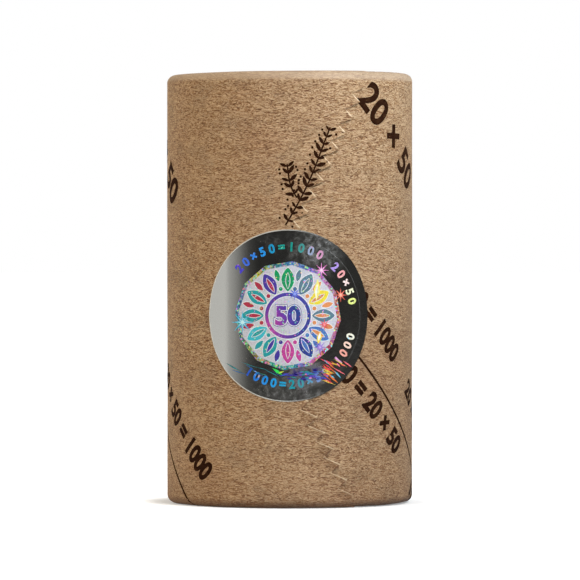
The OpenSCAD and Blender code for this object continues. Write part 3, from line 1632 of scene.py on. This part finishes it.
@dataclass(frozen=True)
class GlintZone:
    """A part of the foil that is strewn with painted glints, thin streaks of some colours, in millimetres and
    degrees.
    """

    middle: Point
    spread: Point
    count: int
    lengths: Point
    widths: Point
    leans: Point
    codes: tuple[str, ...]
    inner_r: float = 7.6
    outer_r: float = 10.6

    def streaks(self, draw: random.Random) -> list[tuple[float, float, float, float, float, str]]:
        """Draw the streaks.

        Args:
            draw: The source of chance.

        Returns:
            Place, length, width, lean and colour of each one.
        """
        done = []
        while len(done) < self.count:
            x, y = (m + draw.uniform(-1, 1) * d for m, d in zip(self.middle, self.spread))
            if self.inner_r < math.hypot(x, y) < self.outer_r:
                sizes = [draw.uniform(*span) for span in (self.lengths, self.widths, self.leans)]
                done.append((x, y, *sizes, draw.choice(self.codes)))
        return done


@dataclass
class Seal:
    """The round foil seal, with a twelve-sided field of coloured leaves and a ring of numerals."""

    form: RollForm
    foil: Material
    glitter: Material
    field_print: Material
    bright_print: Material
    radius: float = 11.4
    foil_t: float = 0.06
    glue_t: float = 0.01
    drop: float = 3.4
    angle: float = -1.0
    field_flats: float = 14.0
    frame_w: float = 0.5
    field_turn: float = -5.0
    boss_r: float = 3.05
    layer: float = 0.006
    step: float = 0.4
    outline: float = 0.1
    rim_cuts: int = 96
    numeral_size: float = 3.4
    mark_size: float = 1.62
    mark_weight: float = 0.06
    upper_foot_r: float = 8.55
    lower_foot_r: float = 9.65
    star_waist: float = 0.24
    seed: int = 11
    glint_zones: tuple[GlintZone, ...] = (
        GlintZone((7.1, -7.5), (2.0, 1.4), 30, (0.35, 1.2), (0.05, 0.13), (-46, -12),
                  ("f2445a", "e0445c", "f05a50", "e87a3c", "f0707a", "e8d24a", "58b7d8")),
        GlintZone((2.4, -7.9), (2.9, 0.5), 36, (0.25, 0.8), (0.05, 0.12), (-16, 14),
                  ("4a3ab8", "5a50c8", "3f5fd0", "3a2fa0", "6a4ac0", "2f8f9a")),
        GlintZone((-4.6, -7.1), (3.4, 0.7), 14, (0.5, 1.3), (0.025, 0.05), (-34, -14),
                  ("2a6fb0", "2f8f9a", "36a08a", "2f5a9a")),
    )

    def build(self) -> list[Piece]:
        """Make the seal's pieces.

        Returns:
            The pieces.
        """
        base = self.base()
        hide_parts("seal")
        dressing = [
            (base, self.foil),
            (self.frame(), self.glitter),
            (self.field(), self.field_print),
            (self.wreath(), self.field_print),
            (self.boss(), self.field_print),
            (self.ring_numerals(), self.bright_print),
            (self.stars(), self.bright_print),
            (self.glints(), self.bright_print),
        ]
        return [Bench.dress(piece, material, Slot.FOIL, "wrapper") for piece, material in dressing]

    def wind(self, level: float) -> Rule:
        """A rule that bends the flat seal round the roll at a level over the foil.

        Args:
            level: How many layers of print lie below.

        Returns:
            The rule.
        """
        radius = self.form.outer_r + self.glue_t + self.foil_t + level * self.layer

        def bend(co: Vector) -> Vector:
            """One flat point, bent.

            Args:
                co: The flat point.

            Returns:
                The point of space.
            """
            turn = math.radians(self.angle) + co.x / radius
            z = self.form.height / 2 - self.drop + co.y
            return Vector((radius * math.sin(turn), -radius * math.cos(turn), z)) * MM

        return bend

    def finish(self, piece: Piece, level: float, tint: Tint) -> Piece:
        """Rule a flat piece, tint it, bend it round the roll and give it thickness.

        Args:
            piece: The flat piece.
            level: Its level over the foil.
            tint: Its tint.

        Returns:
            The piece on the roll.
        """
        Bench.rule(piece, self.step)
        Bench.paint(piece, tint)
        Bench.move(piece, self.wind(level))
        Bench.close(piece, self.layer, -1)
        return piece

    def base(self) -> Piece:
        """The plain foil disc, cut from a grid, with its flat layout as a UV map.

        Returns:
            The disc on the roll.
        """
        piece = Bench.grid("seal_foil", 60, 60)
        Bench.move(piece, lambda co: Vector(((co.x - 0.5) * 2.04, (co.y - 0.5) * 2.04, 0)) * self.radius)
        for k in range(self.rim_cuts):
            a = 2 * math.pi * k / self.rim_cuts
            out = Vector((math.cos(a), math.sin(a), 0))
            Bench.cut(piece, out * self.radius, out, drop=True)
        Bench.chart(piece, [(v.co.x, v.co.y) for v in piece.data.vertices])
        Bench.move(piece, self.wind(0))
        Bench.close(piece, self.foil_t, -1)
        return piece

    def twelve(self, name: str, flats: float) -> Piece:
        """A flat twelve-sided plate with a corner near its top.

        Args:
            name: The piece's name.
            flats: The distance between two opposite sides.

        Returns:
            The flat plate.
        """
        plate = Bench.disc(name, 12, flats / 2 / math.cos(math.pi / 12))
        turn = Matrix.Rotation(math.radians(self.field_turn), 3, "Z")
        Bench.move(plate, lambda co: turn @ co)
        return plate

    def frame(self) -> Piece:
        """The glittering border of the field.

        Returns:
            The border on the roll.
        """
        piece = self.twelve("seal_frame", self.field_flats)

        def hollow() -> None:
            """Inset the plate and delete its middle."""
            bpy.ops.mesh.inset(thickness=self.frame_w)
            bpy.ops.mesh.delete(type="FACE")

        Bench.edit(piece, hollow)
        Bench.rule(piece, 0.6, upright=False)
        stops = [
            (0, "e8705a"), (25, "d8909a"), (45, "c878c8"), (65, "6a78d0"), (85, "4a80c8"), (105, "4aa0a0"),
            (118, "9ab84a"), (130, "e8d840"), (142, "7a9aa0"), (160, "5a84b8"), (200, "4a98a8"),
            (220, "7aa860"), (235, "b89a50"), (250, "3aa89a"), (270, "40b8b8"), (285, "5a80c8"),
            (300, "d86aa0"), (318, "e85a5a"), (335, "b06ab8"), (350, "d87868"), (360, "e8705a"),
        ]
        return self.finish(piece, 2, self.round_tint(stops))

    @staticmethod
    def round_tint(stops: Stops) -> Tint:
        """A tint by the direction from the seal's middle, in degrees from its right."""
        return lambda co: blend(stops, math.degrees(math.atan2(co.y, co.x)) % 360)

    def field(self) -> Piece:
        """The pale field inside the border."""
        plate = self.twelve("seal_field", self.field_flats - 2 * self.frame_w + 0.05)
        return self.finish(plate, 1, Tints.PALE.colour)

    def layered(
        self, shape: Piece, rule: Callable[[Vector, float], Vector], level: float, tint: Colour
    ) -> list[Piece]:
        """A figure on a white figure that is a little wider.

        Args:
            shape: The flat shape of unit size.
            rule: Places a point of the shape, with so much added all round.
            level: The level of the white figure.
            tint: The colour of the upper figure.

        Returns:
            Both figures on the roll.
        """
        under = Bench.copy(shape, lambda co: rule(co, self.outline))
        over = Bench.copy(shape, lambda co: rule(co, 0.0))
        return [self.finish(under, level, Tints.WHITE.colour), self.finish(over, level + 1, tint)]

    def wreath(self) -> Piece:
        """Twelve broad veined leaves round the boss, with a small leaf and a bead between each two.

        Returns:
            The joined leaves and beads.
        """
        broad = [
            Tints.SLATE, Tints.YELLOW, Tints.SLATE, Tints.GREEN, Tints.VIOLET, Tints.TEAL,
            Tints.TEAL, Tints.CYAN, Tints.TEAL, Tints.MAGENTA, Tints.INDIGO, Tints.BLUE,
        ]
        small = [
            Tints.ORANGE, Tints.ORANGE, Tints.SLATE, Tints.GREEN, Tints.CRIMSON, Tints.CRIMSON,
            Tints.CRIMSON, Tints.TEAL, Tints.VIOLET, Tints.MAGENTA, Tints.BLUE, Tints.ORANGE,
        ]
        leaf = Bench.disc("leaf", 20, 1.0)
        Bench.move(leaf, lambda co: Vector((co.x, co.y * (1 - 0.5 * co.x * co.x), 0)))
        bead = Bench.disc("bead", 14, 1.0)
        done = []
        for k, (first, second) in enumerate(zip(broad, small)):
            for tint, shape, level, shift, size in (
                (second, leaf, 2, 0.5, Vector((5.5, 0.8, 0.34))),
                (second, bead, 2, 0.5, Vector((3.65, 0.27, 0.27))),
                (first, leaf, 4, 0.0, Vector((4.78, 1.55, 0.86))),
                (second, leaf, 6, 0.0, Vector((4.62, 1.0, 0.24))),
            ):
                turn = Matrix.Rotation(2 * math.pi * (k + shift) / 12, 3, "Z")

                def rule(co: Vector, more: float, t: Matrix = turn, z: Vector = size) -> Vector:
                    """Place a point of a leaf or bead."""
                    return t @ Vector((z.x + co.x * (z.y + more), co.y * (z.z + more), 0))

                done += self.layered(shape, rule, level, tint.colour)
        Bench.drop(leaf, bead)
        return Bench.join(done, "seal_wreath")

    def boss(self) -> Piece:
        """The numerals in the middle, inside a ring.

        Returns:
            The joined ring and numerals.
        """
        around = [
            (0, "2f3f93"), (60, "4a4ab0"), (120, "4b3aa8"), (175, "5a3ab0"), (215, "c9489f"),
            (250, "8a3fb0"), (290, "3f3f9a"), (360, "2f3f93"),
        ]
        ring = Bench.disc("ring", 48, 1.0)
        plates = [
            (self.boss_r + 0.14, 8, Tints.WHITE.colour),
            (self.boss_r, 9, self.round_tint(around)),
            (self.boss_r - 0.46, 10, Tints.WHITE.colour),
            (self.boss_r - 0.56, 11, Tints.PALE.colour),
        ]
        done = [self.finish(Bench.copy(ring, lambda co, r=r: co * r), *rest) for r, *rest in plates]
        Bench.drop(ring)
        slope = [(-3.0, "d0489a"), (-1.2, "8a3fb0"), (0.2, "4b3aa8"), (1.2, "2f3f93"), (3.0, "3f62a8")]
        numerals = [
            (0.32, 12, Tints.INDIGO.colour),
            (0.25, 13, Tints.WHITE.colour),
            (0.14, 14, lambda co: blend(slope, co.x + 0.5 * co.y)),
        ]
        for weight, level, tint in numerals:
            piece = Bench.words("numerals", "50", self.numeral_size, weight)
            spans = list(zip(*(v.co for v in piece.data.vertices)))
            middle = Vector([(min(span) + max(span)) / 2 for span in spans])
            Bench.move(piece, lambda co, m=middle: co - m)
            done.append(self.finish(piece, level, tint))
        return Bench.join(done, "seal_boss")

    def ring_numerals(self) -> Piece:
        """Two arcs of numerals round the field, whose tint goes through the rainbow.

        Returns:
            The joined numerals.
        """
        upper = [
            (137, "4a3fd0"), (124, "2f7df0"), (110, "1e9bf0"), (95, "12958a"), (80, "1a8f86"), (68, "a6a8cc"),
            (58, "ea8fb4"), (48, "8f8ae8"), (36, "f0a49c"), (26, "f4ece8"), (12, "e6f28c"),
        ]
        lower = [
            (235, "2358c8"), (244, "1f86ee"), (262, "22a4e4"), (276, "1f9291"), (290, "5f9cc4"),
            (304, "8f8fe6"), (316, "d59ae2"), (326, "f2a394"), (342, "f2f0dc"),
        ]
        done = self.arc("20\u00d750=1000 20\u00d750", upper, self.upper_foot_r, 1)
        done += self.arc("1000=20\u00d750 1000", lower, self.lower_foot_r, -1)
        return Bench.join(done, "seal_ring_numerals")

    def arc(self, text: str, stops: Stops, foot_r: float, up: int) -> list[Piece]:
        """Numerals along an arc.

        Args:
            text: The numerals.
            stops: Angles in degrees along the arc with the tints there.
            foot_r: The radius that the numerals stand on.
            up: 1 where their heads point outwards, -1 where they point inwards.

        Returns:
            The numerals on the roll.
        """
        done = []
        first, last = stops[0][0], stops[-1][0]
        for k, mark in enumerate(text):
            if mark == " ":
                continue
            angle = first + (last - first) * k / (len(text) - 1)
            tint = blend(stops, angle)
            piece = Bench.words("mark", mark, self.mark_size, self.mark_weight)
            middle = sum((v.co.x for v in piece.data.vertices), 0.0) / len(piece.data.vertices)
            turn = Matrix.Rotation(math.radians(angle - 90 * up), 3, "Z")
            Bench.move(piece, lambda co, t=turn, m=middle: t @ Vector((co.x - m, co.y + up * foot_r, 0)))
            done.append(self.finish(piece, 1, tint))
        return done

    def stars(self) -> Piece:
        """Sparkles with eight points, strewn over the seal.

        Returns:
            The joined sparkles.
        """
        star = Bench.disc("star", 16, 1.0)
        for i, vertex in enumerate(star.data.vertices):
            if i % 2:
                vertex.co *= self.star_waist
        places = [
            (-6.2, -0.9, 1.6, "4fc4ea", "c8f0f8"), (4.5, 6.0, 1.05, "e88ad0", "f8d8ec"),
            (7.2, 2.7, 0.95, "f4705c", "fcc0a8"), (0.9, 2.9, 0.95, "3858e0", "9fb0f4"),
            (4.9, -1.2, 0.85, "f0485a", "f8a0a4"), (4.3, -4.2, 0.95, "9364d8", "d0b4f0"),
        ]
        done = []
        for x, y, size, code, core in places:
            for level, share, tint in ((16, 1.0, code), (17, 0.5, core)):
                part = Bench.copy(star, lambda co, s=size * share, m=Vector((x, y, 0)): co * s + m)
                done.append(self.finish(part, level, linear(tint)))
        Bench.drop(star)
        return Bench.join(done, "seal_stars")

    def glints(self) -> Piece:
        """Painted glints: splinters of rainbow colour and highlights where the foil breaks the light.

        Returns:
            The joined splinters.
        """
        splinter = Bench.disc("splinter", 4, 1.0)
        # Painted highlights: yellow streaks with white cores, and green glints near the bottom.
        streaks = [
            (3.9, 3.4, 1.5, 0.45, 86, "fbf07a"), (3.85, 3.2, 1.1, 0.22, 86, "ffffff"),
            (4.2, -2.9, 0.9, 0.36, 78, "fbe04a"), (4.2, -2.8, 0.6, 0.18, 78, "ffffff"),
            (-1.4, -7.4, 0.8, 0.22, -35, "36e05a"), (-0.9, -7.5, 0.4, 0.1, 20, "d8f05a"),
        ]
        draw = random.Random(self.seed)
        for zone in self.glint_zones:
            streaks += zone.streaks(draw)
        done = []
        for x, y, length, width, lean, code in streaks:
            turn = Matrix.Rotation(math.radians(lean), 3, "Z")
            size, middle = Vector((length, width, 0)), Vector((x, y, 0))
            part = Bench.copy(splinter, lambda co, t=turn, z=size, m=middle: t @ (co * z) + m)
            done.append(self.finish(part, 15, linear(code)))
        Bench.drop(splinter)
        return Bench.join(done, "seal_glints")


@dataclass
class CoinStack:
    """The loose coins inside, of which the two end ones show."""

    metal: Material
    edge_round: float = 0.06

    def build(self) -> list[Piece]:
        """Dress every coin and round the edges that show.

        Returns:
            The coins.
        """
        coins = [node for name, node in sorted(frame["nodes"].items()) if name.startswith("coin_")]
        for coin in coins:
            coin.data.materials.clear()
            coin.data.materials.append(self.metal)
        for coin in (coins[0], coins[-1]):
            weld = coin.modifiers.new("weld", "WELD")
            weld.merge_threshold = 1e-6
            rounding = coin.modifiers.new("rounding", "BEVEL")
            rounding.width = self.edge_round * MM
            rounding.segments = 2
            rounding.limit_method = "ANGLE"
        log.info("coins: %d", len(coins))
        return coins


@dataclass(frozen=True)
class Lamp:
    """A soft box round the roll, in millimetres, degrees and watts.

    It stands right of the front by its bearing and over the middle of the roll by its rise, and points at a
    height above that middle. A narrow spread lights only what lies near that height.
    """

    name: str
    bearing: float
    rise: float
    power: float
    tint: Colour = (1.0, 0.92, 0.74)
    sheen: bool = False
    distance: float = 480.0
    size: float = 280.0
    spread: float = 180.0
    aim_up: float = 0.0

    def place(self, middle: Vector) -> None:
        """Add the lamp.

        Args:
            middle: The middle of the roll.
        """
        side, high = math.radians(self.bearing), math.radians(self.rise)
        away = Vector((math.sin(side) * math.cos(high), -math.cos(side) * math.cos(high), math.sin(high)))
        spot = middle + away * self.distance
        target = middle + Vector((0, 0, self.aim_up))
        Bench.clear()
        bpy.ops.object.light_add(type="AREA", location=spot * MM)
        lamp = bpy.context.object
        lamp.name = self.name
        lamp.data.shape = "SQUARE"
        lamp.data.size = self.size * MM
        lamp.data.spread = math.radians(self.spread)
        lamp.data.energy = self.power
        lamp.data.color = self.tint
        lamp.rotation_euler = (spot - target).to_track_quat("Z", "Y").to_euler()
        lamp.visible_camera = False
        lamp.visible_glossy = self.sheen


@dataclass
class Studio:
    """A pale floor, soft lamps, a white background and the camera."""

    form: RollForm
    lamps: tuple[Lamp, ...] = (
        Lamp("key_box", 35.0, 38.0, 2.65, (1.0, 1.01, 1.01), sheen=True),
        Lamp(
            "right_spot", 72.0, 30.0, 0.0125, (0.86, 1.13, 1.45),
            distance=172.8, size=40.32, spread=45.0, aim_up=35.0,
        ),
        Lamp("left_box", -100.0, 15.0, 1.2),
        Lamp("left_front_box", -42.0, 15.0, 0.84),
        Lamp("left_back_box", -140.0, 15.0, 0.18),
    )
    distance: float = 700.0
    eye_z: float = 38.3
    aim: Triple = (-0.01, 0.0, 28.77)
    lens: float = 320.6
    flag_span: Point = (-100.0, 96.0)
    flag_glow: tuple[Point, ...] = (
        (-62, 0.6), (-57.5, 0.4), (-52.5, 0.31), (-44.5, 0.15), (-38.5, 0.06), (-30, 0.022), (96, 0.03),
    )
    world_light: float = 0.07
    backdrop_span: Point = (0.0, 0.5)
    backdrop_gleam: float = 0.5
    floor_size: float = 6000.0
    shadow_span: Point = (16.8, 23.5)
    shadow_glow: float = 0.3
    floor_light: float = 0.2
    floor_seen: float = 0.8
    board_faces: int = 180
    board_foot_r: float = 30.0
    board_z: float = 0.4
    board_growth: float = 30.0
    board_height: float = 150.0

    def build(self) -> None:
        """Set up all that isn't part of the object."""
        scene = bpy.context.scene
        scene.view_settings.view_transform = "Standard"
        self.world(scene)
        self.floor()
        self.flag()
        for lamp in self.lamps:
            lamp.place(Vector((0, 0, self.form.height / 2)))
        self.camera(scene)

    def world(self, scene: bpy.types.Scene) -> None:
        """White where the camera looks, a softer white behind the roll in mirrors, and dim as light.

        Args:
            scene: The scene that gets it.
        """
        g = Graph("studio", world=True)
        scene.world = g.owner
        behind = g.node("ShaderNodeTexCoord", output="Generated").part("Y").rise(*self.backdrop_span)
        seen = g.ray("Is Camera Ray") + g.mirrored() * behind * self.backdrop_gleam
        light = g.node("ShaderNodeBackground", {}, {"Color": grey(1.0), "Strength": self.world_light})
        white = g.node("ShaderNodeBackground", {}, {"Color": grey(1.0), "Strength": 1.0})
        choice = g.node("ShaderNodeMixShader", {}, {0: seen, 1: light, 2: white})
        g.node("ShaderNodeOutputWorld", {}, {"Surface": choice})

    def floor(self) -> None:
        """A pale floor that keeps the shadow."""
        Bench.clear()
        bpy.ops.mesh.primitive_plane_add(size=self.floor_size * MM, location=(0, 0, 0))
        floor = Bench.take("floor")
        g = Graph("pale_floor")
        seen = g.ray("Is Camera Ray") + g.mirrored() * self.backdrop_gleam
        near = g.millimetres().away().rise(*self.shadow_span)
        glow = g.mix(seen, grey(0.0), g.mix(near, grey(self.shadow_glow), grey(1.0)))
        pale = g.mix(seen, grey(self.floor_light), grey(self.floor_seen))
        floor.data.materials.append(
            g.surface(
                Base_Color=pale,
                Roughness=0.9,
                Specular_IOR_Level=0.1,
                Emission_Color=glow,
                Emission_Strength=1.0,
            )
        )

    def flag(self) -> None:
        """A board before the roll that only mirrors see, pale on its left and dark on the rest."""
        Bench.clear()
        bpy.ops.mesh.primitive_circle_add(
            vertices=self.board_faces,
            radius=self.board_foot_r * MM,
            fill_type="NOTHING",
            location=(0, 0, self.board_z * MM),
        )
        bpy.ops.object.transform_apply(location=True, rotation=True, scale=True)
        flag = Bench.take("mirror_board")

        def raise_board() -> None:
            """Extrude the ring outwards for the board's foot, and its rim upwards."""
            bpy.ops.mesh.extrude_region_move(TRANSFORM_OT_translate={"value": (0, 0, 0)})
            growth = (self.board_growth, self.board_growth, 1.0)
            bpy.ops.transform.resize(value=growth, center_override=(0, 0, 0))
            bpy.ops.mesh.extrude_region_move(TRANSFORM_OT_translate={"value": (0, 0, self.board_height * MM)})
            bpy.ops.mesh.select_mode(type="FACE")

        Bench.edit(flag, raise_board)
        low, high = self.flag_span
        for face in flag.data.polygons:
            bearing = math.degrees(math.atan2(face.center.x, -face.center.y))
            face.select = not low < bearing < high
        bpy.ops.object.mode_set(mode="EDIT")
        bpy.ops.mesh.delete(type="FACE")
        bpy.ops.mesh.select_mode(type="VERT")
        bpy.ops.object.mode_set(mode="OBJECT")
        g = Graph("board_cloth")
        glow = g.node(
            "ShaderNodeValToRGB",
            {"stops": [(0.5 + a / 360, grey(c)) for a, c in self.flag_glow]},
            {"Fac": g.millimetres().bearing() + 0.5},
        )
        flag.data.materials.append(
            g.surface(Base_Color=grey(0.0), Roughness=1.0, Emission_Color=glow, Emission_Strength=1.0)
        )
        flag.visible_camera = False
        flag.visible_diffuse = False
        flag.visible_shadow = False

    def camera(self, scene: bpy.types.Scene) -> None:
        """The camera at the photograph's place.

        Args:
            scene: The scene that gets it.
        """
        eye = Vector((self.aim[0], -self.distance, self.eye_z)) * MM
        bpy.ops.object.camera_add(location=eye)
        camera = bpy.context.object
        camera.rotation_euler = (Vector(self.aim) * MM - eye).to_track_quat("-Z", "Y").to_euler()
        camera.data.sensor_width = 36.0
        camera.data.lens = self.lens
        camera.data.clip_start = 0.01
        scene.camera = camera


def main() -> None:
    """Build the roll, piece by piece, and its studio."""
    logging.basicConfig(level=logging.INFO, format="%(name)s: %(message)s")
    form = RollForm.from_frame()
    paper = KraftPaper().material()
    Wrapper(form, paper).build()
    PaperPrint(form, PrintInk().material()).build()
    glitter = HoloPrint("foil_glitter", cell=0.2, sparkle=0.6, metal=0.35, rough=0.3, grain=0.6)
    field_print = HoloPrint("foil_print", cell=0.13, sparkle=0.06, metal=0.2, rough=0.4, grain=0.2)
    bright_print = HoloPrint("foil_bright", cell=0.3, sparkle=0.04, metal=0.1, rough=0.35, grain=0.15)
    foils = [finish.material() for finish in (SealFoil(), glitter, field_print, bright_print)]
    Seal(form, *foils).build()
    CoinStack(CoinMetal().material()).build()
    Studio(form).build()


if __name__ == "__main__":
    main()
